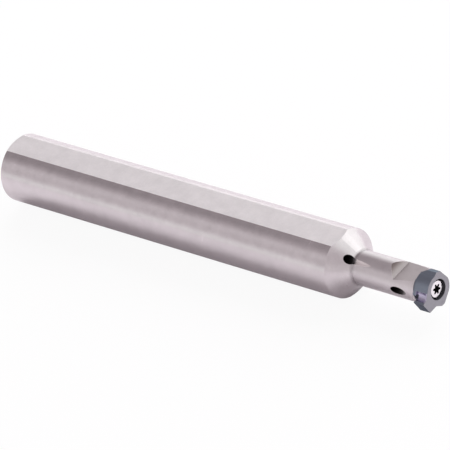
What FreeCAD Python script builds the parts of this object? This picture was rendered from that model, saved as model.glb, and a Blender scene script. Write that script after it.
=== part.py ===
import FreeCAD, Part
import os
import Sketcher

# Internal grooving toolholder: a round steel shank with two clamping flats, a cone down to a thin
# neck, a small carbide insert screwed to the end of the neck, and coolant ducts inside. The tool
# lies along +X, from the middle of the shank's rear face to the insert. +Z is square to the flats,
# and the tooth points to -Y with its cutting edge on the shank's centre height.

doc = FreeCAD.newDocument("grooving_toolholder")
sheet = doc.addObject("Spreadsheet::Sheet", "Sizes")

# Driving dimensions, in millimetres and degrees.
SIZES = {
    # Depth by which a cut runs past the face that it opens
    "cut_overshoot": 1.0,
    # Shank, cone and neck
    "shank_diameter": 16.0,
    "flat_depth": 0.55,
    "shank_length": 102.0,
    "rear_chamfer": 1.0,
    "cone_length": 4.2,
    "neck_diameter": 8.0,
    "neck_length": 17.8,
    "root_fillet": 0.4,
    "rim_fillet": 0.15,
    "seat_chamfer": 0.25,
    # Lug beside the insert seat: its wall leans from the root to the tip
    "lug_length": 1.4,
    "lug_root_offset": 0.45,
    "lug_tip_offset": 1.2,
    # Chip relief milled into the top of the neck, measured from the seat and from the neck's top
    "relief_length": 5.8,
    "relief_front_depth": 0.76,
    "relief_rear_depth": 1.42,
    "relief_cutter_radius": 2.7,
    # Coolant ducts
    "inlet_diameter": 9.73,
    "inlet_depth": 10.0,
    "duct_diameter": 4.0,
    "duct_end": 92.0,
    "neck_duct_diameter": 2.4,
    "neck_duct_end": 113.0,
    "drill_tip_angle": 118.0,
    "cone_outlet_diameter": 2.0,
    "cone_outlet_turn": 30.0,
    "cone_outlet_tilt": 4.0,
    "cone_outlet_height": 4.55,
    "neck_outlet_diameter": 1.8,
    "neck_outlet_turn": 84.0,
    "neck_outlet_tilt": 25.0,
    "neck_outlet_setback": 4.3,
    # Clamp screw and its hole
    "screw_diameter": 2.5,
    "screw_clearance": 0.05,
    "screw_length": 10.1,
    "screw_end_chamfer": 0.35,
    "tapped_depth": 7.2,
    "head_diameter": 3.8,
    "head_rim": 0.3,
    "head_edge": 0.12,
    "head_cone_angle": 60.0,
    "head_sunk": 0.45,
    "head_seat_gap": 0.02,
    "socket_core_diameter": 1.6,
    "socket_lobe_diameter": 0.6,
    "socket_size": 2.3,
    "socket_depth": 1.1,
    "socket_lobe_count": 6,
    # Insert: its round body, its back and its lobe. Angles run from +Z towards the tooth
    "insert_thickness": 4.0,
    "insert_radius": 3.5,
    "insert_back_radius": 3.7,
    "insert_lobe_radius": 4.12,
    "crown_angle": -4.0,
    "lobe_start_angle": -16.0,
    "lobe_end_angle": -34.0,
    "back_top_angle": -83.0,
    "back_foot_angle": -133.0,
    "insert_hole_diameter": 2.9,
    "mouth_bevel": 0.15,
    "lug_wall_gap": 0.05,
    "lug_end_gap": 0.1,
    # Tooth of the insert, and the keel under it
    "tooth_reach": 5.45,
    "tooth_width": 2.8,
    "rake_length": 1.2,
    "rake_rise": 0.3,
    "cheek_angle": 50.0,
    "heel_drop": 3.1,
    "heel_relief": 1.05,
    "keel_root_reach": 2.1,
    "keel_front_reach": 0.56,
    "keel_back_reach": 0.42,
    "keel_drop": 4.3,
    "keel_corner": 0.45,
    "flank_top_angle": 80.0,
    "flank_foot_angle": 146.0,
    "gullet_radius": 1.05,
    "gullet_bite": 0.1,
    "gullet_rim": 0.35,
}
for row, (alias, value) in enumerate(SIZES.items(), start=1):
    sheet.set("A%d" % row, alias)
    sheet.set("B%d" % row, str(value))
    sheet.setAlias("B%d" % row, alias)
doc.recompute()


def sizes(expression):
    """Write the sheet's name before each alias of an expression."""
    words = sorted(SIZES, key=len, reverse=True)
    for number, word in enumerate(words):
        expression = expression.replace(word, "#%d#" % number)
    for number, word in enumerate(words):
        expression = expression.replace("#%d#" % number, "Sizes." + word)
    return expression


def value_of(expression):
    """The number that an expression gives now, for a first position of a sketch point."""
    return float(sheet.evalExpression(expression))


FULL_TURN = 360.0
TOLERANCE = 1e-4

# Lengths and slopes that several features share
NECK_START = "(shank_length + cone_length)"
SEAT = "(shank_length + cone_length + neck_length)"
LUG_END = "(shank_length + cone_length + neck_length + lug_length)"
LUG_SLOPE = "((lug_tip_offset - lug_root_offset) / lug_length)"
FRONT = "(shank_length + cone_length + neck_length + insert_thickness)"
HEAD_TOP = "(shank_length + cone_length + neck_length + insert_thickness - head_sunk)"
HEAD_SLOPE = "tan(head_cone_angle / 2)"
TIP_SLOPE = "tan(drill_tip_angle / 2)"
BEYOND = "shank_diameter"


def plane_of(body, role):
    """One of the three base planes of a body."""
    for feature in body.Origin.OriginFeatures:
        if feature.Role == role:
            return feature
    raise RuntimeError("no plane " + role)


def new_sketch(body, name, role, offset=None, turn=None):
    """A sketch on a base plane, moved along its normal or turned about its own first axis."""
    sketch = body.newObject("Sketcher::SketchObject", name)
    sketch.AttachmentSupport = [(plane_of(body, role), "")]
    sketch.MapMode = "FlatFace"
    if turn:
        sketch.AttachmentOffset = FreeCAD.Placement(
            FreeCAD.Vector(), FreeCAD.Rotation(FreeCAD.Vector(1, 0, 0), 1.0))
        sketch.setExpression("AttachmentOffset.Rotation.Angle", sizes(turn))
    if offset:
        sketch.setExpression("AttachmentOffset.Base.z", sizes(offset))
    doc.recompute()
    return sketch


def pin_point(sketch, edge, end, name, across, up):
    """Hold one end of an edge at a place that is worked out from the sheet."""
    for kind, letter, text in (("DistanceX", "x", across), ("DistanceY", "y", up)):
        number = value_of(text)
        index = sketch.addConstraint(Sketcher.Constraint(kind, -1, 1, edge, end, number))
        sketch.renameConstraint(index, name + letter)
        sketch.setExpression("Constraints." + name + letter, text)


def draw_outline(sketch, corners, arcs=None):
    """A closed outline. Each corner is a pair of expressions, and arcs maps a corner's number to
    the radius of the arc that leaves it and the side that it bulges to: 1 is left of its way."""
    arcs = arcs or {}
    places = [(sizes(across), sizes(up)) for across, up in corners]
    points = [FreeCAD.Vector(value_of(across), value_of(up), 0) for across, up in places]
    starts = {}
    for number, point in enumerate(points):
        target = points[(number + 1) % len(points)]
        if number not in arcs:
            sketch.addGeometry(Part.LineSegment(point, target))
            starts[number] = 1
            continue
        radius, side = arcs[number]
        chord = target - point
        reach = value_of(sizes(radius))
        middle = (point + target) * 0.5
        across = FreeCAD.Vector(-chord.y, chord.x, 0).normalize() * side
        height = reach - max(reach ** 2 - (chord.Length / 2) ** 2, 0) ** 0.5
        sketch.addGeometry(Part.Arc(point, middle + across * height, target))
        starts[number] = 1 if side < 0 else 2
    for number in range(len(points)):
        after = (number + 1) % len(points)
        sketch.addConstraint(Sketcher.Constraint(
            "Coincident", number, 3 - starts[number], after, starts[after]))
    for number, (across, up) in enumerate(places):
        pin_point(sketch, number, starts[number], "p%d" % number, across, up)
    for number, (radius, side) in arcs.items():
        index = sketch.addConstraint(Sketcher.Constraint("Radius", number, value_of(sizes(radius))))
        sketch.renameConstraint(index, "radius%d" % number)
        sketch.setExpression("Constraints.radius%d" % number, sizes(radius))
    doc.recompute()
    return sketch


def draw_circle(sketch, across, up, radius):
    """A circle whose middle and radius come from the sheet."""
    across, up, radius = sizes(across), sizes(up), sizes(radius)
    middle = FreeCAD.Vector(value_of(across), value_of(up), 0)
    sketch.addGeometry(Part.Circle(middle, FreeCAD.Vector(0, 0, 1), value_of(radius)))
    pin_point(sketch, 0, 3, "middle", across, up)
    index = sketch.addConstraint(Sketcher.Constraint("Radius", 0, value_of(radius)))
    sketch.renameConstraint(index, "radius")
    sketch.setExpression("Constraints.radius", radius)
    doc.recompute()
    return sketch


def add_feature(body, kind, name, sketch, **settings):
    """A feature made from a sketch, which has to change the body's volume."""
    before = 0.0 if body.Shape.isNull() else body.Shape.Volume
    feature = body.newObject("PartDesign::" + kind, name)
    feature.Profile = sketch
    for key, value in settings.items():
        if key == "expressions":
            for target, text in value.items():
                feature.setExpression(target, sizes(text))
        else:
            setattr(feature, key, value)
    doc.recompute()
    change = abs(body.Shape.Volume - before)
    if change < TOLERANCE:
        raise RuntimeError(name + " changes nothing")
    return feature


def turned(body, kind, name, corners, sweep=FULL_TURN):
    """A Revolution or a Groove about the tool's axis, from a sketch on the XZ plane."""
    sketch = draw_outline(new_sketch(body, name + "_sketch", "XZ_Plane"), corners)
    return add_feature(body, kind, name, sketch, ReferenceAxis=(sketch, ["H_Axis"]), Angle=sweep)


def milled(body, name, role, corners, arcs=None):
    """A cut right through the body on both sides of a base plane."""
    sketch = draw_outline(new_sketch(body, name + "_sketch", role), corners, arcs)
    return add_feature(body, "Pocket", name, sketch, Type="ThroughAll", Midplane=True)


def edges_where(feature, test):
    """The names of a feature's edges that pass a test."""
    found = []
    for number, edge in enumerate(feature.Shape.Edges, start=1):
        if test(edge):
            found.append("Edge%d" % number)
    if not found:
        raise RuntimeError("no edge found on " + feature.Name)
    return found


def rounded(body, name, feature, radius, test):
    """A Fillet on the edges that pass a test."""
    fillet = body.newObject("PartDesign::Fillet", name)
    fillet.Base = (feature, edges_where(feature, test))
    fillet.setExpression("Radius", sizes(radius))
    doc.recompute()
    if fillet.Shape.isNull():
        raise RuntimeError(name + " failed")
    return fillet


def is_ring(edge, station, radius):
    """Whether an edge is a circle about the tool's axis at a station along it."""
    curve = edge.Curve
    if not isinstance(curve, Part.Circle) or abs(abs(curve.Axis.x) - 1) > TOLERANCE:
        return False
    away = curve.Center - FreeCAD.Vector(value_of(sizes(station)), 0, 0)
    return away.Length < TOLERANCE and abs(curve.Radius - value_of(sizes(radius))) < TOLERANCE


def inclined_duct(body, name, turn, tilt, diameter, station, height, rear, ahead):
    """A straight drilled duct in a plane through the tool's axis, turned about that axis. It passes
    station at a height over the axis and climbs towards the front, from rear behind it to ahead."""
    slope = "tan(%s)" % tilt
    lean = "(%s / 2 * sin(%s))" % (diameter, tilt)
    rise = "(%s / 2 * cos(%s))" % (diameter, tilt)
    ends = []
    for step in ("-(%s)" % rear, "(%s)" % ahead):
        ends.append(("(%s) + %s" % (station, step), "(%s) + %s * %s" % (height, step, slope)))
    corners = [ends[0], ends[1],
               (ends[1][0] + " - " + lean, ends[1][1] + " + " + rise),
               (ends[0][0] + " - " + lean, ends[0][1] + " + " + rise)]
    sketch = draw_outline(new_sketch(body, name + "_sketch", "XZ_Plane", turn=turn), corners)
    return add_feature(body, "Groove", name, sketch, ReferenceAxis=(sketch, ["Edge1"]),
                       Angle=FULL_TURN)


# Toolholder: one turned and milled piece of steel
holder = doc.addObject("PartDesign::Body", "toolholder")
holder.Label = "toolholder"
turning = turned(holder, "Revolution", "turning", [
    ("0", "0"),
    ("0", "shank_diameter / 2 - rear_chamfer"),
    ("rear_chamfer", "shank_diameter / 2"),
    ("shank_length", "shank_diameter / 2"),
    (NECK_START, "neck_diameter / 2"),
    (LUG_END, "neck_diameter / 2"),
    (LUG_END, "0")])
root = rounded(holder, "neck_root", turning, "root_fillet",
               lambda edge: is_ring(edge, NECK_START, "neck_diameter / 2"))
rounded(holder, "cone_rim", root, "rim_fillet",
        lambda edge: is_ring(edge, "shank_length", "shank_diameter / 2"))

# The seat is milled across the end of the neck and leaves the lug standing
milled(holder, "insert_seat", "XY_Plane", [
    (SEAT, "-" + BEYOND),
    (SEAT, "lug_root_offset"),
    (LUG_END, "lug_tip_offset"),
    (LUG_END + " + cut_overshoot", "lug_tip_offset"),
    (LUG_END + " + cut_overshoot", "-" + BEYOND)])
turned(holder, "Groove", "seat_edge", [
    (SEAT + " - seat_chamfer", "neck_diameter / 2"),
    (SEAT, "neck_diameter / 2 - seat_chamfer"),
    (SEAT + " + seat_chamfer", "neck_diameter / 2"),
    (SEAT, "neck_diameter / 2 + seat_chamfer")], sweep=FULL_TURN / 2)

# Two flats on the shank and its cone, and the chip relief on the neck
FLAT_HEIGHT = "(shank_diameter / 2 - flat_depth)"
for name, side in (("top_flat", ""), ("bottom_flat", "-")):
    milled(holder, name, "XZ_Plane", [
        ("-" + BEYOND, side + FLAT_HEIGHT),
        (NECK_START, side + FLAT_HEIGHT),
        (NECK_START, side + BEYOND),
        ("-" + BEYOND, side + BEYOND)])

RELIEF_REAR = SEAT + " - relief_length"
RELIEF_FLOOR = "neck_diameter / 2 - relief_rear_depth"
RELIEF_SLOPE = "((relief_rear_depth - relief_front_depth) / relief_length)"
RELIEF_RUN = "(relief_length + lug_length + cut_overshoot)"
RUNOUT = "(relief_cutter_radius ^ 2 - (relief_cutter_radius - relief_rear_depth) ^ 2) ^ 0.5"
milled(holder, "chip_relief", "XZ_Plane", [
    (RELIEF_REAR, RELIEF_FLOOR),
    (RELIEF_REAR + " - " + RUNOUT, "neck_diameter / 2"),
    (RELIEF_REAR + " - " + RUNOUT, "neck_diameter / 2 + cut_overshoot"),
    (LUG_END + " + cut_overshoot", "neck_diameter / 2 + cut_overshoot"),
    (LUG_END + " + cut_overshoot", RELIEF_FLOOR + " + " + RELIEF_RUN + " * " + RELIEF_SLOPE)],
    arcs={0: ("relief_cutter_radius", -1)})

# Coolant: a tapped inlet, a long duct, a thin one up the neck, and two inclined outlets
turned(holder, "Groove", "coolant_duct", [
    ("0", "0"),
    ("0", "inlet_diameter / 2"),
    ("inlet_depth", "inlet_diameter / 2"),
    ("inlet_depth + (inlet_diameter - duct_diameter) / 2 / " + TIP_SLOPE, "duct_diameter / 2"),
    ("duct_end", "duct_diameter / 2"),
    ("duct_end + (duct_diameter - neck_duct_diameter) / 2 / " + TIP_SLOPE, "neck_duct_diameter / 2"),
    ("neck_duct_end", "neck_duct_diameter / 2"),
    ("neck_duct_end + neck_duct_diameter / 2 / " + TIP_SLOPE, "0")])
TAP_RADIUS = "(screw_diameter / 2 + screw_clearance)"
turned(holder, "Groove", "tapped_hole", [
    (LUG_END + " + cut_overshoot", "0"),
    (LUG_END + " + cut_overshoot", TAP_RADIUS),
    (SEAT + " - tapped_depth", TAP_RADIUS),
    (SEAT + " - tapped_depth - " + TAP_RADIUS + " / " + TIP_SLOPE, "0")])
inclined_duct(holder, "cone_outlet", "cone_outlet_turn", "cone_outlet_tilt",
              "cone_outlet_diameter", "shank_length + cone_length / 2", "cone_outlet_height",
              "(cone_outlet_height - duct_diameter / 2) / tan(cone_outlet_tilt)", "shank_diameter")
inclined_duct(holder, "neck_outlet", "neck_outlet_turn", "neck_outlet_tilt",
              "neck_outlet_diameter", SEAT + " - neck_outlet_setback", "neck_diameter / 2",
              "neck_diameter / 2 / tan(neck_outlet_tilt)", "neck_diameter / 2")

# Cutting insert: a ground carbide disc with one grooving tooth, a lobe and a keel
insert = doc.addObject("PartDesign::Body", "cutting_insert")
insert.Label = "cutting_insert"


def on_circle(radius, angle):
    """A place on a circle about the tool's axis, at an angle from +Z towards the tooth."""
    return ("-%s * sin(%s)" % (radius, angle), "%s * cos(%s)" % (radius, angle))


KEEL = [("-keel_root_reach", "-heel_drop"),
        ("-keel_front_reach", "-keel_drop"),
        ("keel_back_reach", "-keel_drop")]
blank_sketch = draw_outline(new_sketch(insert, "blank_sketch", "YZ_Plane", offset=SEAT), [
    ("-tooth_reach", "0"),
    ("-(tooth_reach - heel_relief)", "-heel_drop"),
    *KEEL,
    on_circle("insert_back_radius", "back_foot_angle"),
    on_circle("insert_back_radius", "back_top_angle"),
    on_circle("insert_lobe_radius", "lobe_end_angle"),
    on_circle("insert_lobe_radius", "lobe_start_angle"),
    on_circle("insert_radius", "crown_angle"),
    on_circle("insert_radius", "cheek_angle"),
    ("-(tooth_reach - rake_length)", "rake_rise")],
    arcs={5: ("insert_back_radius", -1), 7: ("insert_lobe_radius", -1), 9: ("insert_radius", -1)})
blank = add_feature(insert, "Pad", "blank", blank_sketch,
                    expressions={"Length": "insert_thickness"})


def is_corner(edge, corner):
    """Whether an edge runs along the tool's axis at a corner of the blank's outline."""
    place = [value_of(sizes(text)) for text in corner]
    ends = [vertex.Point for vertex in edge.Vertexes]
    return all(abs(end.y - place[0]) + abs(end.z - place[1]) < TOLERANCE for end in ends)


rounded(insert, "keel_corners", blank, "keel_corner",
        lambda edge: any(is_corner(edge, corner) for corner in KEEL))

# Behind the tooth the blank is ground back to its round body, so the tooth keeps its width
flank_sketch = draw_outline(new_sketch(insert, "tooth_flank_sketch", "YZ_Plane", offset=SEAT), [
    on_circle("insert_radius", "flank_top_angle"),
    on_circle("insert_radius", "flank_foot_angle"),
    ("-insert_radius * sin(flank_foot_angle)", "-(keel_drop + cut_overshoot)"),
    ("-(tooth_reach + cut_overshoot)", "-(keel_drop + cut_overshoot)"),
    ("-(tooth_reach + cut_overshoot)", "insert_radius * cos(flank_top_angle)")],
    arcs={0: ("insert_radius", 1)})
add_feature(insert, "Pocket", "tooth_flank", flank_sketch, Reversed=True,
            expressions={"Length": "insert_thickness - tooth_width"})

# The chip gullet is a hollow ground along the tooth, closed by a thin rim at the front
gullet_sketch = draw_circle(
    new_sketch(insert, "chip_gullet_sketch", "YZ_Plane", offset=FRONT + " - gullet_rim"),
    "-(tooth_reach - rake_length)", "gullet_radius - gullet_bite", "gullet_radius")
add_feature(insert, "Pocket", "chip_gullet", gullet_sketch,
            expressions={"Length": "tooth_width"})

# Rebate for the lug, with a small gap at its wall and at its end
milled(insert, "lug_rebate", "XY_Plane", [
    (SEAT + " - cut_overshoot", "lug_root_offset - lug_wall_gap - cut_overshoot * " + LUG_SLOPE),
    (LUG_END + " + lug_end_gap", "lug_tip_offset - lug_wall_gap + lug_end_gap * " + LUG_SLOPE),
    (LUG_END + " + lug_end_gap", BEYOND),
    (SEAT + " - cut_overshoot", BEYOND)])

# Screw hole: a plain bore, and the cone that takes the screw's head
CONE_FOOT = HEAD_TOP + " - head_rim - (head_diameter - insert_hole_diameter) / 2 / " + HEAD_SLOPE
CONE_MOUTH = "(head_diameter / 2 + (head_sunk + head_rim - mouth_bevel) * " + HEAD_SLOPE + ")"
turned(insert, "Groove", "screw_hole", [
    (SEAT + " - cut_overshoot", "0"),
    (SEAT + " - cut_overshoot", "insert_hole_diameter / 2"),
    (CONE_FOOT, "insert_hole_diameter / 2"),
    (FRONT + " - mouth_bevel", CONE_MOUTH),
    (FRONT, CONE_MOUTH + " + mouth_bevel"),
    (FRONT + " + cut_overshoot", CONE_MOUTH + " + mouth_bevel"),
    (FRONT + " + cut_overshoot", "0")])

# Clamp screw: a small countersunk screw with a six-lobed socket
screw = doc.addObject("PartDesign::Body", "clamp_screw")
screw.Label = "clamp_screw"
TOP = HEAD_TOP + " + head_seat_gap"
turned(screw, "Revolution", "screw_turning", [
    (TOP, "0"),
    (TOP, "head_diameter / 2 - head_edge"),
    (TOP + " - head_edge", "head_diameter / 2"),
    (TOP + " - head_rim", "head_diameter / 2"),
    (TOP + " - head_rim - (head_diameter - screw_diameter) / 2 / " + HEAD_SLOPE,
     "screw_diameter / 2"),
    (TOP + " - screw_length + screw_end_chamfer", "screw_diameter / 2"),
    (TOP + " - screw_length", "screw_diameter / 2 - screw_end_chamfer"),
    (TOP + " - screw_length", "0")])
socket_sketch = draw_circle(new_sketch(screw, "socket_core_sketch", "YZ_Plane", offset=TOP),
                            "0", "0", "socket_core_diameter / 2")
add_feature(screw, "Pocket", "socket_core", socket_sketch,
            expressions={"Length": "socket_depth"})
lobe_sketch = draw_circle(new_sketch(screw, "socket_lobe_sketch", "YZ_Plane", offset=TOP),
                          "0", "(socket_size - socket_lobe_diameter) / 2",
                          "socket_lobe_diameter / 2")
lobe = add_feature(screw, "Pocket", "socket_lobe", lobe_sketch,
                   expressions={"Length": "socket_depth"})
lobes = screw.newObject("PartDesign::PolarPattern", "socket_lobes")
lobes.Originals = [lobe]
lobes.Axis = (lobe_sketch, ["N_Axis"])
lobes.Angle = FULL_TURN
screw.Tip = lobes
lobes.setExpression("Occurrences", sizes("socket_lobe_count"))
doc.recompute()

# Nothing is written unless every object and every solid is sound
for item in doc.Objects:
    if "Invalid" in item.State or "Error" in item.State:
        raise RuntimeError("failed: " + item.Name)
pieces = [item for item in doc.Objects if item.TypeId == "PartDesign::Body"]
os.makedirs("parts", exist_ok=True)
for piece in pieces:
    if piece.Shape.isNull() or not piece.Shape.isValid() or len(piece.Shape.Solids) != 1:
        raise RuntimeError("unsound solid: " + piece.Label)
for piece in pieces:
    piece.Shape.exportStep("parts/%s.step" % piece.Label)
    box = piece.Shape.optimalBoundingBox()
    print("%-16s %9.2f mm3  x %.2f to %.2f  y %.2f to %.2f  z %.2f to %.2f" % (
        piece.Label, piece.Shape.Volume, box.XMin, box.XMax, box.YMin, box.YMax, box.ZMin, box.ZMax))
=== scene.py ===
import math

import bmesh
import bpy
from mathutils import Matrix, Vector


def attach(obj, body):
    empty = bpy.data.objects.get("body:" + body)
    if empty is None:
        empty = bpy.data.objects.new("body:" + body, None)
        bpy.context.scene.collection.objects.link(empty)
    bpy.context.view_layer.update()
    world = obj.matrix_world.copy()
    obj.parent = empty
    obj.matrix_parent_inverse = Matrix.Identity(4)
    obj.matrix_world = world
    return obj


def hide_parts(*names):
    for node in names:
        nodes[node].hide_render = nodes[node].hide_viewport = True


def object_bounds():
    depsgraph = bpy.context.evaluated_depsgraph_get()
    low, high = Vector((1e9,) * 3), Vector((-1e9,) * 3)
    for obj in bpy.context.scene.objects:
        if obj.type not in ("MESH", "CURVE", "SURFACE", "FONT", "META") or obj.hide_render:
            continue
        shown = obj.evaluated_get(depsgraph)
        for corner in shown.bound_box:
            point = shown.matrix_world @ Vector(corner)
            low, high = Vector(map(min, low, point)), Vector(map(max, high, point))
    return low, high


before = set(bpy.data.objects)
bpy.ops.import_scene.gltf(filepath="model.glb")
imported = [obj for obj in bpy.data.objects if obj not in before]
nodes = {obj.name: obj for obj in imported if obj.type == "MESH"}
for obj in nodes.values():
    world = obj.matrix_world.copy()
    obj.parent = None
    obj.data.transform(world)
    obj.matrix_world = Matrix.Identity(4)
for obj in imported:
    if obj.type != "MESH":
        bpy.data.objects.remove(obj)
cad_low, cad_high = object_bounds()
MM = 0.001

# The view of the photograph. A long lens looks down on the tool from its front and its tooth side,
# and is rolled, so the tool runs from the upper left to the lower right.
CAMERA_AIM = Vector((64.128, 0.498, -0.143)) * MM
CAMERA_AZIMUTH = math.radians(53.329)
CAMERA_ELEVATION = math.radians(36.029)
CAMERA_ROLL = math.radians(-21.813)
CAMERA_DISTANCE = 1.18369
CAMERA_LENS = 421.16
CAMERA_NEAREST = 0.01

camera = bpy.data.objects.new("camera", bpy.data.cameras.new("camera"))
bpy.context.scene.collection.objects.link(camera)
camera.data.lens = CAMERA_LENS
camera.data.clip_start = CAMERA_NEAREST
towards_camera = Vector((math.sin(CAMERA_AZIMUTH) * math.cos(CAMERA_ELEVATION),
                         -math.cos(CAMERA_AZIMUTH) * math.cos(CAMERA_ELEVATION),
                         math.sin(CAMERA_ELEVATION)))
camera.rotation_mode = "QUATERNION"
camera.rotation_quaternion = ((-towards_camera).to_track_quat("-Z", "Y")
                              @ Matrix.Rotation(CAMERA_ROLL, 3, "Z").to_quaternion())
camera.location = CAMERA_AIM + towards_camera * CAMERA_DISTANCE
bpy.context.scene.camera = camera
bpy.context.scene.view_settings.view_transform = "Standard"

# Plain soft studio light. The tent is pale all round, brighter low behind the tool and dimmer
# overhead, as in the photograph. Each lobe is a direction, a half width in degrees, and how much it
# adds to the tent's level. The lamp is large and soft, stands behind the tool and lights the floor.
TENT_LEVEL = 0.76
TENT_LOBES = (
    ((0.10, 0.98, 0.15), 60.0, 0.62),
    ((-0.63, 0.77, 0.05), 26.0, 0.35),
    ((0.55, 0.52, 0.66), 38.0, 0.42),
    ((-0.64, 0.22, 0.74), 45.0, -0.34),
    ((-0.66, -0.31, 0.68), 16.0, -0.22),
    ((0.0, 0.30, 0.95), 35.0, -0.25),
    ((0.74, -0.40, 0.54), 24.0, -0.12),
    ((-0.656, -0.70, 0.28), 16.0, -0.10),
    ((-0.66, -0.75, 0.0), 16.0, 0.32),
)
DIM_TINT = (1.0, 0.88, 0.93, 1.0)
WHITE = (1.0, 1.0, 1.0, 1.0)
TINT_LEVELS = (0.35, 1.25)
LAMP_TOWARD = Vector((-0.15, 0.80, 0.50)).normalized()
LAMP_SIZE = 1.5
LAMP_DISTANCE = 1.2
LAMP_LEVEL = 4.4


class Socket:
    """A node's output. Python maths on it adds the Math nodes that work the expression out."""

    def __init__(self, tree, output):
        self.tree = tree
        self.output = output

    def node(self, kind, settings=(), inputs=(), output=0):
        """Any other node: its settings first, then its inputs as numbers, colours or links."""
        made = self.tree.nodes.new(kind)
        for name, value in dict(settings).items():
            setattr(made, name, value)
        for name, value in dict(inputs).items():
            if isinstance(value, Socket):
                self.tree.links.new(value.output, made.inputs[name])
            else:
                made.inputs[name].default_value = value
        return Socket(self.tree, made.outputs[output])

    def maths(self, operation, *values):
        """A Math node on numbers or sockets."""
        return self.node("ShaderNodeMath", {"operation": operation}, enumerate(values))

    def __add__(self, other):
        return self.maths("ADD", self, other)

    __radd__ = __add__

    def __sub__(self, other):
        return self.maths("SUBTRACT", self, other)

    def __rsub__(self, other):
        return self.maths("SUBTRACT", other, self)

    def __mul__(self, other):
        return self.maths("MULTIPLY", self, other)

    __rmul__ = __mul__

    def __pow__(self, other):
        return self.maths("POWER", self, other)

    def __abs__(self):
        return self.maths("ABSOLUTE", self)

    def above(self, start, end):
        """0 below start, 1 above end, and smooth between them."""
        return self.node("ShaderNodeMapRange", {"interpolation_type": "SMOOTHSTEP"},
                         {"Value": self, "From Min": start, "From Max": end})

    def below(self, start, end):
        """1 below start, 0 above end, and smooth between them."""
        return 1.0 - self.above(start, end)


def link(node, name, value):
    """Join a value to a node's input."""
    value.tree.links.new(value.output, node.inputs[name])


def blend(factor, first, second):
    """A colour between two others."""
    return factor.node("ShaderNodeMix", {"data_type": "RGBA"},
                       {"Factor": factor, 6: first, 7: second}, output=2)


world = bpy.data.worlds.new("studio")
world.use_nodes = True
bpy.context.scene.world = world
tent = world.node_tree
outward = Socket(tent, tent.nodes.new("ShaderNodeTexCoord").outputs["Generated"])
level = TENT_LEVEL
for centre, width, change in TENT_LOBES:
    toward = outward.node("ShaderNodeVectorMath", {"operation": "DOT_PRODUCT"},
                          {0: outward, 1: Vector(centre).normalized()}, output="Value")
    level = level + toward.above(math.cos(math.radians(width)), 1.0) * change
link(tent.nodes["Background"], "Color", blend(level.above(*TINT_LEVELS), DIM_TINT, WHITE))
link(tent.nodes["Background"], "Strength", level)

lamp = bpy.data.objects.new("softbox", bpy.data.lights.new("softbox", "AREA"))
lamp.data.size = LAMP_SIZE
lamp.data.energy = LAMP_LEVEL * math.pi * LAMP_SIZE ** 2
lamp.location = CAMERA_AIM + LAMP_TOWARD * LAMP_DISTANCE
lamp.rotation_mode = "QUATERNION"
lamp.rotation_quaternion = LAMP_TOWARD.to_track_quat("Z", "Y")
lamp.visible_glossy = False
bpy.context.scene.collection.objects.link(lamp)

# The floor is a plain pale sheet on which the tool lies on its second flat. The camera sees mostly
# its white glow, and the tool's steel mirrors mostly its paint.
FLOOR_RADIUS = 4.0
FLOOR_PAINT = (0.67, 0.638, 0.665, 1.0)
FLOOR_GLOW = 0.93
MIRRORED_GLOW = 0.02

floor_mesh = bmesh.new()
bmesh.ops.create_circle(floor_mesh, cap_ends=True, segments=64, radius=FLOOR_RADIUS,
                        matrix=Matrix.Translation((CAMERA_AIM.x, 0, cad_low.z)))
floor = bpy.data.objects.new("floor", bpy.data.meshes.new("floor"))
floor_mesh.to_mesh(floor.data)
floor_mesh.free()
bpy.context.scene.collection.objects.link(floor)
floor_paint = bpy.data.materials.new("floor_paint")
floor_paint.use_nodes = True
floor_tree = floor_paint.node_tree
floor_tree.nodes.remove(floor_tree.nodes["Principled BSDF"])
rays = floor_tree.nodes.new("ShaderNodeLightPath")
seen = Socket(floor_tree, rays.outputs["Is Camera Ray"])
mirrored = (Socket(floor_tree, rays.outputs["Is Glossy Ray"])
            + Socket(floor_tree, rays.outputs["Is Transmission Ray"]))
paint = seen.node("ShaderNodeBsdfDiffuse", {}, {"Color": FLOOR_PAINT})
glow = seen.node("ShaderNodeEmission", {}, {"Color": WHITE, "Strength": 1.0})
sheet = seen.node("ShaderNodeMixShader", {},
                  {0: seen * FLOOR_GLOW + mirrored * MIRRORED_GLOW, 1: paint, 2: glow})
link(floor_tree.nodes["Material Output"], "Surface", sheet)
floor.data.materials.append(floor_paint)

# Toolholder: one bar of tool steel. The shank is turned, ground round and given two ground flats.
# The cone, the thin neck and the insert's seat are turned and milled, and a chip relief is milled
# into the neck's top. Two inclined coolant ducts are drilled into the cone and the neck.
METRE_IN_MM = 1000.0
STEEL = (0.66, 0.63, 0.638, 1.0)
FLAT_STEEL = (0.787, 0.770, 0.775, 1.0)
MILLED_STEEL = (0.66, 0.63, 0.63, 1.0)
# The relief's concave run-out is painted dark: painted shade in the hollow.
RUNOUT_PAINTED_SHADE = (0.27, 0.233, 0.225, 1.0)
# Near-white painted highlight for the cone duct's groove along the neck.
GROOVE_PAINTED_HIGHLIGHT = (0.96, 0.91, 0.90, 1.0)
# Nearly black painted shade for the ducts' bores and the neck's root corner.
PAINTED_SHADE_BLACK = (0.075, 0.07, 0.07, 1.0)
SATIN_DARK = (0.90, 0.90, 0.90, 1.0)
SATIN_LIGHT = (1.09, 1.09, 1.09, 1.0)
SATIN_SMEAR = 1.1
SATIN_MOTTLE = 0.5
FLAT_DULLNESS = 0.22
# How much painted shade darkens the neck's root corner, and how much of the bores' painted shade
# fades at the neck duct's mouth.
ROOT_SHADE = 0.3
MOUTH_SHADE_FADE = 0.5
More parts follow.
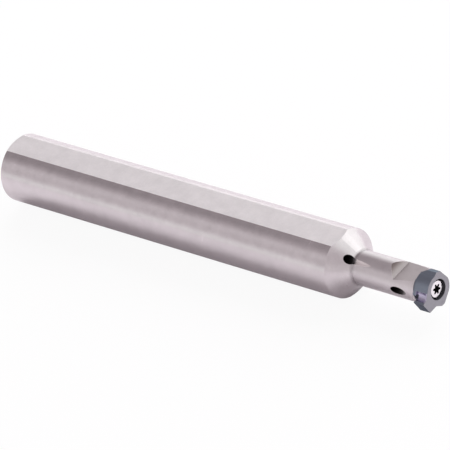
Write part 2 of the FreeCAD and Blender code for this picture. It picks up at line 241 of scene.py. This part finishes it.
# Each surface's border is soft and given by its two ends, in millimetres along the tool, above its
# axis, or away from an axis.
FLAT_HEIGHT = (7.42, 7.445)
REAR_END = (0.0, 0.03)
NECK_START = (106.4, 107.0)
RELIEF_START = (107.0, 107.2)
RELIEF_RADIUS = (3.965, 3.99)
RELIEF_HEIGHT = (2.2, 2.3)
RUNOUT_END = (116.6, 119.1)
ROOT_START = (105.75, 106.15)
ROOT_END = (106.5, 107.1)
ROOT_RADIUS = (4.6, 5.2)
# Each coolant duct's axis is a point on it and its direction.
NECK_DUCT = ((119.7, -3.978, 0.418), (0.9063, -0.4203, 0.0442))
NECK_DUCT_RADIUS = (0.92, 0.97)
NECK_DUCT_START = (110.0, 110.5)
NECK_DUCT_MOUTH = (120.2, 121.8)
CONE_DUCT = ((104.1, -2.275, 3.940), (0.9976, -0.0349, 0.0604))
CONE_DUCT_RADIUS = (1.02, 1.07)
CONE_DUCT_START = (90.0, 90.5)
CONE_DUCT_END = (105.6, 106.6)
# The ground steel's roughness and what each surface and each mark adds to it, then the share of the
# marks' depth that rings, grain and cutter lines take.
GROUND_ROUGHNESS = 0.25
FLAT_ROUGHNESS = 0.3
REAR_ROUGHNESS = 0.12
NECK_ROUGHNESS = 0.1
RELIEF_ROUGHNESS = 0.2
HOLE_ROUGHNESS = 0.2
RING_ROUGHNESS = 0.04
BROAD_RING_ROUGHNESS = 0.03
GRAIN_ROUGHNESS = 0.08
SMEAR_ROUGHNESS = 0.06
RING_HEIGHT = 0.6
GRAIN_HEIGHT = 0.6
CUTTER_HEIGHT = 0.8
MARK_DEPTH = 0.0018 * MM


def new_material(name):
    """A material with its shader and the place on the piece in millimetres."""
    made = bpy.data.materials.new(name)
    made.use_nodes = True
    tree = made.node_tree
    texture_place = Socket(tree, tree.nodes.new("ShaderNodeTexCoord").outputs["Object"])
    place = texture_place.node("ShaderNodeVectorMath", {"operation": "SCALE"},
                               {0: texture_place, "Scale": METRE_IN_MM})
    return made, tree.nodes["Principled BSDF"], place


def axes(place):
    """The three coordinates of a place."""
    split = place.tree.nodes.new("ShaderNodeSeparateXYZ")
    link(split, "Vector", place)
    return [Socket(place.tree, output) for output in split.outputs]


def off_axis(side, height):
    """The distance from the tool's axis."""
    return (side * side + height * height) ** 0.5


def off_line(place, point, direction):
    """The distance of a place from a straight line."""
    away = place.node("ShaderNodeVectorMath", {"operation": "SUBTRACT"}, {0: place, 1: point})
    square = away.node("ShaderNodeVectorMath", {"operation": "CROSS_PRODUCT"},
                       {0: away, 1: direction})
    return square.node("ShaderNodeVectorMath", {"operation": "LENGTH"}, {0: square}, output="Value")


def lines(coordinate, scale, detail=3.0):
    """Noise about 0 along one coordinate, in lines square to it."""
    return coordinate.node("ShaderNodeTexNoise", {"noise_dimensions": "1D"},
                           {"W": coordinate, "Scale": scale, "Detail": detail}) - 0.5


def cloud(place, scale, detail=3.0):
    """Noise about 0 in patches all over a piece."""
    return place.node("ShaderNodeTexNoise", {},
                      {"Vector": place, "Scale": scale, "Detail": detail}) - 0.5


def multiplied(first, second):
    """Two colours multiplied."""
    return first.node("ShaderNodeMix", {"data_type": "RGBA", "blend_type": "MULTIPLY"},
                      {"Factor": 1.0, 6: first, 7: second}, output=2)


def bumped(shader, height, depth, edge=0.0):
    """Raise a surface by a height from 0 to 1 of a depth in metres, with its edges broken."""
    inputs = {"Distance": depth, "Height": height}
    if edge:
        inputs["Normal"] = height.node("ShaderNodeBevel", {"samples": 6}, {"Radius": edge})
    link(shader, "Normal", height.node("ShaderNodeBump", {}, inputs))


def dressed(name, material):
    """Give a CAD node its material."""
    nodes[name].data.materials.clear()
    nodes[name].data.materials.append(material)


steel, shader, place = new_material("ground_steel")
along, side, height = axes(place)
radius = off_axis(side, height)
flat = abs(height).above(*FLAT_HEIGHT)
rear = along.below(*REAR_END)
neck = along.above(*NECK_START)
relief = (radius.below(*RELIEF_RADIUS) * height.above(*RELIEF_HEIGHT)
          * along.above(*RELIEF_START))
root = along.above(*ROOT_START) * along.below(*ROOT_END) * radius.below(*ROOT_RADIUS)
in_neck_duct = off_line(place, *NECK_DUCT).below(*NECK_DUCT_RADIUS)
in_cone_duct = off_line(place, *CONE_DUCT).below(*CONE_DUCT_RADIUS)
groove = in_cone_duct * neck
hole = (in_neck_duct * along.above(*NECK_DUCT_START)
        + in_cone_duct * along.above(*CONE_DUCT_START) * along.below(*CONE_DUCT_END))
plain = (1.0 - flat) * (1.0 - rear) * (1.0 - relief)

rings = lines(along, scale=5.0, detail=4.0)
broad_rings = lines(along, scale=0.9, detail=2.0)
cutter_lines = lines(along, scale=3.0, detail=2.0)
grain = lines(side, scale=9.0)
facing = lines(radius, scale=6.0)
smear = cloud(place, scale=0.35)
mottle = cloud(place, scale=2.2)
link(shader, "Roughness",
     GROUND_ROUGHNESS + flat * FLAT_ROUGHNESS + rear * REAR_ROUGHNESS + neck * NECK_ROUGHNESS
     + relief * RELIEF_ROUGHNESS + rings * plain * RING_ROUGHNESS
     + broad_rings * plain * BROAD_RING_ROUGHNESS + grain * flat * GRAIN_ROUGHNESS
     + smear * SMEAR_ROUGHNESS + hole * HOLE_ROUGHNESS)
satin = blend(0.5 + smear * SATIN_SMEAR + mottle * SATIN_MOTTLE, SATIN_DARK, SATIN_LIGHT)
colour = blend(flat, STEEL, FLAT_STEEL)
# Painted shade: the relief's run-out is dark at its rear and fades into the milled steel towards
# its front end.
colour = blend(relief, colour, blend(along.above(*RUNOUT_END), RUNOUT_PAINTED_SHADE, MILLED_STEEL))
# Painted highlight: the cone duct's groove along the neck is painted near white.
colour = blend(groove, colour, GROOVE_PAINTED_HIGHLIGHT)
# Painted shade: the corner at the neck's root is darkened towards black.
colour = blend(root * ROOT_SHADE, colour, PAINTED_SHADE_BLACK)
# Painted shade: the ducts' bores are painted nearly black, fading by half towards the neck duct's
# mouth.
colour = blend(hole * (1.0 - along.above(*NECK_DUCT_MOUTH) * MOUTH_SHADE_FADE), colour, PAINTED_SHADE_BLACK)
link(shader, "Base Color", multiplied(colour, satin))
link(shader, "Metallic", 1.0 - flat * FLAT_DULLNESS)
bumped(shader, 0.5 + rings * plain * RING_HEIGHT + grain * flat * GRAIN_HEIGHT + facing * rear
       + cutter_lines * relief * CUTTER_HEIGHT, MARK_DEPTH)
dressed("toolholder", steel)

# Inlet thread: the tapped female thread of the coolant inlet in the shank's rear face. It is a pipe
# thread cut into the bore's wall, and it has a chamfered mouth.
INLET_PITCH = 0.907
INLET_CREST = 4.283
INLET_ROOT = 4.835
INLET_OUTSIDE = 4.86
INLET_SLEEVE = INLET_OUTSIDE - 0.005
INLET_LAND = 0.125
INLET_STEPS = 64
INLET_TURNS = 10
INLET_MOUTH = 0.03
INLET_START = 0.55
INLET_END = INLET_START + INLET_TURNS * INLET_PITCH
TAPPED_DARK = (0.40, 0.37, 0.37, 1.0)
TAPPED_LIGHT = (0.55, 0.51, 0.52, 1.0)
TAPPED_ROUGHNESS = 0.34
TAPPED_MOTTLE = 0.2
TAP_MARK_HEIGHT = 0.7
TAP_MARK_DEPTH = 0.003 * MM
SHARP_EDGE = math.radians(28.0)
# How near points are merged: anywhere, between a thread's turns, and on the thread's outer sleeve.
# Then how near a cut or an open ring's points are taken as at their station.
MERGED = 0.0008 * MM
TURN_MERGED = 0.001 * MM
SLEEVE_MERGED = 0.01 * MM
CUT_MARGIN = 0.002 * MM
RING_MARGIN = 0.004 * MM


def thread_surface(inner, outer, pitch, land, start, end, steps):
    """The surface of a screw thread about the X axis, cut off at two stations, as a new bmesh."""
    made = bmesh.new()
    spare_turns = 2
    flank = (0.5 - land) * pitch
    outline = ((0.0, inner), (land * pitch, inner), (land * pitch + flank, outer),
               (2 * land * pitch + flank, outer), (pitch, inner))
    corners = [made.verts.new(((start - spare_turns * pitch + step) * MM, 0.0, reach * MM))
               for step, reach in outline]
    edges = [made.edges.new(pair) for pair in zip(corners, corners[1:])]
    turns = math.ceil((end - start) / pitch) + spare_turns + 1
    bmesh.ops.spin(made, geom=corners + edges, cent=(0.0, 0.0, 0.0), axis=(1.0, 0.0, 0.0),
                   dvec=(pitch / steps * MM, 0.0, 0.0), angle=math.tau * turns,
                   steps=steps * turns, use_merge=False)
    bmesh.ops.remove_doubles(made, verts=made.verts[:], dist=TURN_MERGED)
    for station, way in ((start, -1.0), (end, 1.0)):
        bmesh.ops.bisect_plane(made, geom=made.verts[:] + made.edges[:] + made.faces[:],
                               dist=CUT_MARGIN, plane_co=(station * MM, 0.0, 0.0),
                               plane_no=(way, 0.0, 0.0), clear_outer=True)
    return made


def end_ring(mesh, station):
    """The open edges of a mesh at a station along the tool."""
    return [edge for edge in mesh.edges if edge.is_boundary
            and all(abs(vert.co.x - station * MM) < RING_MARGIN for vert in edge.verts)]


def drawn_out(mesh, ring, station, reach):
    """Extrude a ring of edges to a station and a radius about the X axis, and give the new ring."""
    grown = bmesh.ops.extrude_edge_only(mesh, edges=ring)["geom"]
    verts = [item for item in grown if isinstance(item, bmesh.types.BMVert)]
    for vert in verts:
        stretch = reach * MM / math.hypot(vert.co.y, vert.co.z)
        vert.co = (station * MM, vert.co.y * stretch, vert.co.z * stretch)
    return [item for item in grown if isinstance(item, bmesh.types.BMEdge)]


def finished(mesh, name, material):
    """A bmesh as a smooth piece at the origin, closed and with its faces outwards."""
    bmesh.ops.remove_doubles(mesh, verts=mesh.verts[:], dist=MERGED)
    bmesh.ops.recalc_face_normals(mesh, faces=mesh.faces[:])
    for face in mesh.faces:
        face.smooth = True
    for edge in mesh.edges:
        if len(edge.link_faces) == 2 and edge.calc_face_angle(0.0) > SHARP_EDGE:
            edge.smooth = False
    made = bpy.data.objects.new(name, bpy.data.meshes.new(name))
    mesh.to_mesh(made.data)
    mesh.free()
    made.data.materials.append(material)
    bpy.context.scene.collection.objects.link(made)
    return made


tapped, shader, place = new_material("tapped_steel")
along, side, height = axes(place)
link(shader, "Roughness", TAPPED_ROUGHNESS + cloud(place, scale=1.5) * TAPPED_MOTTLE)
link(shader, "Base Color", blend(0.5 + cloud(place, scale=0.8), TAPPED_DARK, TAPPED_LIGHT))
shader.inputs["Metallic"].default_value = 1.0
bumped(shader, 0.5 + lines(along, scale=12.0) * TAP_MARK_HEIGHT, TAP_MARK_DEPTH)

inlet = thread_surface(INLET_ROOT, INLET_CREST, INLET_PITCH, INLET_LAND, INLET_START, INLET_END,
                       INLET_STEPS)
front_ring = end_ring(inlet, INLET_END)
mouth_ring = drawn_out(inlet, end_ring(inlet, INLET_START), INLET_MOUTH, INLET_OUTSIDE)
drawn_out(inlet, mouth_ring, INLET_END, INLET_OUTSIDE)
drawn_out(inlet, front_ring, INLET_END, INLET_OUTSIDE)
sleeve = [vert for vert in inlet.verts if vert.co.yz.length > INLET_SLEEVE * MM]
bmesh.ops.remove_doubles(inlet, verts=sleeve, dist=SLEEVE_MERGED)
inlet_thread = finished(inlet, "inlet_thread", tapped)
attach(inlet_thread, "holder")

# Cutting insert: a small disc of sintered carbide, ground to shape and coated dark grey. It has one
# grooving tooth with a chip gullet, and sits on the seat at the end of the neck, against the lug.
COATED = (0.25, 0.29, 0.345, 1.0)
GROUND_FRONT = (0.37, 0.375, 0.40, 1.0)
# The gullet's colour is the coating's violet tone, lightened as painted light on its concave wall.
GULLET_VIOLET_AND_PAINTED_LIGHT = (0.56, 0.535, 0.68, 1.0)
# Nearly black painted shade for the countersink's wall round the screw head.
SINK_PAINTED_SHADE = (0.035, 0.035, 0.04, 1.0)
COATING_EDGE = (0.4, 0.4, 0.4, 1.0)
MOTTLE_DARK = (0.88, 0.88, 0.88, 1.0)
FRONT_FACE = (127.95, 127.99)
GULLET_AXIS = ((126.0, -4.25, 0.95), (1.0, 0.0, 0.0))
GULLET_RADIUS = (1.06, 1.09)
GULLET_START = (124.7, 124.9)
SINK_RADIUS = (2.34, 2.46)
SINK_START = (124.3, 124.4)
COATED_ROUGHNESS = 0.36
MOTTLE_ROUGHNESS = 0.12
FRONT_ROUGHNESS = 0.04
PEEL_HEIGHT = 0.8
PEEL_DEPTH = 0.004 * MM
INSERT_EDGE = 0.07 * MM

carbide, shader, place = new_material("coated_carbide")
along, side, height = axes(place)
radius = off_axis(side, height)
front = along.above(*FRONT_FACE)
gullet = (off_line(place, *GULLET_AXIS).below(*GULLET_RADIUS) * (1.0 - front)
          * along.above(*GULLET_START))
sink = radius.below(*SINK_RADIUS) * along.above(*SINK_START)
mottle = cloud(place, scale=1.6)
colour = blend(front, COATED, GROUND_FRONT)
# The gullet takes the coating's violet tone, made lighter as painted light.
colour = blend(gullet, colour, GULLET_VIOLET_AND_PAINTED_LIGHT)
# Painted shade: the countersink's wall is painted nearly black.
colour = blend(sink, colour, SINK_PAINTED_SHADE)
link(shader, "Base Color", multiplied(colour, blend(0.5 + mottle, MOTTLE_DARK, WHITE)))
link(shader, "Roughness",
     COATED_ROUGHNESS + mottle * MOTTLE_ROUGHNESS + front * FRONT_ROUGHNESS)
shader.inputs["Metallic"].default_value = 1.0
shader.inputs["Specular Tint"].default_value = COATING_EDGE
bumped(shader, 0.5 + cloud(place, scale=9.0, detail=4.0) * PEEL_HEIGHT, PEEL_DEPTH,
       edge=INSERT_EDGE)
dressed("cutting_insert", carbide)

# Clamp screw: a small countersunk steel screw, with a rolled metric thread and a pressed six-lobe
# socket. It passes through the insert into the end of the neck, and its head is polished bright.
SCREW_PITCH = 0.45
SCREW_CREST = 1.25
SCREW_ROOT = 0.96
SCREW_LAND = 0.12
SCREW_STEPS = 36
THREAD_START = 117.85
THREAD_END = 123.2
# The outlines of the screw's tip and head are stations along the tool with their radii.
TIP_CHAMFER = 117.53
TIP_OUTLINE = ((117.47, 0.0), (117.47, 0.86), (TIP_CHAMFER, 0.9))
NECK_END = THREAD_END + 0.25
SCREW_TOP = 127.57
HEAD_OUTLINE = ((NECK_END, 1.12), (125.55, 1.12), (125.80, 1.25), (126.95, 1.876), (127.02, 1.9),
                (127.27, 1.9), (127.50, 1.9), (127.555, 1.885), (SCREW_TOP, 1.85))
HEAD_STEPS = 72
SOCKET_LOBES = 6
SOCKET_INNER = 0.76
SOCKET_OUTER = 1.27
SOCKET_FULLNESS = 0.6
SOCKET_DEPTH = 1.1
SOCKET_TAPER = 0.94
BRIGHT = (0.88, 0.88, 0.89, 1.0)
ROLLED = (0.46, 0.45, 0.455, 1.0)
# Nearly black painted shade for the inside of the six-lobe socket.
SOCKET_PAINTED_SHADE = (0.03, 0.03, 0.03, 1.0)
ROLLED_END = (126.7, 127.1)
SOCKET_RADIUS = (1.28, 1.30)
SOCKET_FLOOR = (126.0, 126.2)
SOCKET_RIM = (127.50, 127.55)
BRIGHT_ROUGHNESS = 0.17
BRIGHT_MOTTLE = 0.06
ROLLED_ROUGHNESS = 0.1
SOCKET_ROUGHNESS = 0.4
HEAD_MARK_HEIGHT = 0.5
HEAD_MARK_DEPTH = 0.002 * MM


def lathed(mesh, outline, steps):
    """Spin an outline of stations and radii about the X axis into a mesh."""
    corners = [mesh.verts.new((step * MM, 0.0, reach * MM)) for step, reach in outline]
    edges = [mesh.edges.new(pair) for pair in zip(corners, corners[1:])]
    bmesh.ops.spin(mesh, geom=corners + edges, cent=(0.0, 0.0, 0.0), axis=(1.0, 0.0, 0.0),
                   angle=math.tau, steps=steps, use_merge=True)


def bridged(mesh, ring, station):
    """Bridge a ring of edges to the open ring at a station."""
    bmesh.ops.bridge_loops(mesh, edges=[edge for edge in ring if edge.is_valid]
                           + end_ring(mesh, station))


bright, shader, place = new_material("bright_screw_steel")
along, side, height = axes(place)
radius = off_axis(side, height)
socket = radius.below(*SOCKET_RADIUS) * along.below(*SOCKET_RIM) * along.above(*SOCKET_FLOOR)
rolled = along.below(*ROLLED_END)
# Painted shade: the socket's walls and floor are painted nearly black.
link(shader, "Base Color", blend(socket, blend(rolled, BRIGHT, ROLLED), SOCKET_PAINTED_SHADE))
link(shader, "Roughness", BRIGHT_ROUGHNESS + cloud(place, scale=2.2) * BRIGHT_MOTTLE
     + rolled * ROLLED_ROUGHNESS + socket * SOCKET_ROUGHNESS)
shader.inputs["Metallic"].default_value = 1.0
bumped(shader, 0.5 + lines(radius, scale=10.0) * HEAD_MARK_HEIGHT, HEAD_MARK_DEPTH)

screw = thread_surface(SCREW_ROOT, SCREW_CREST, SCREW_PITCH, SCREW_LAND, THREAD_START, THREAD_END,
                       SCREW_STEPS)
tip_ring = end_ring(screw, THREAD_START)
neck_ring = end_ring(screw, THREAD_END)
lathed(screw, TIP_OUTLINE, SCREW_STEPS)
lathed(screw, HEAD_OUTLINE, HEAD_STEPS)
bmesh.ops.remove_doubles(screw, verts=screw.verts[:], dist=MERGED)
bridged(screw, tip_ring, TIP_CHAMFER)
bridged(screw, neck_ring, NECK_END)
top_ring = end_ring(screw, SCREW_TOP)
lobes = bmesh.ops.create_circle(screw, segments=HEAD_STEPS, radius=MM,
                                matrix=Matrix.Translation((SCREW_TOP * MM, 0.0, 0.0))
                                @ Matrix.Rotation(math.radians(90.0), 4, "Y"))["verts"]
for vert in lobes:
    turn = math.atan2(vert.co.y, vert.co.z)
    wave = math.cos(SOCKET_LOBES * turn)
    wave = math.copysign(abs(wave) ** SOCKET_FULLNESS, wave)
    reach = (SOCKET_INNER + SOCKET_OUTER) / 2 + (SOCKET_OUTER - SOCKET_INNER) / 2 * wave
    vert.co.y = math.sin(turn) * reach * MM
    vert.co.z = math.cos(turn) * reach * MM
rim = [edge for edge in screw.edges if edge.is_wire]
bmesh.ops.bridge_loops(screw, edges=top_ring + rim)
walls = bmesh.ops.extrude_edge_only(screw, edges=rim)["geom"]
floor_verts = [item for item in walls if isinstance(item, bmesh.types.BMVert)]
floor_edges = [item for item in walls if isinstance(item, bmesh.types.BMEdge)]
bmesh.ops.translate(screw, verts=floor_verts, vec=(-SOCKET_DEPTH * MM, 0.0, 0.0))
bmesh.ops.scale(screw, verts=floor_verts, vec=(1.0, SOCKET_TAPER, SOCKET_TAPER))
bmesh.ops.holes_fill(screw, edges=floor_edges, sides=HEAD_STEPS)
clamp_screw = finished(screw, "threaded_clamp_screw", bright)
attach(clamp_screw, "screw")
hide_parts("clamp_screw")
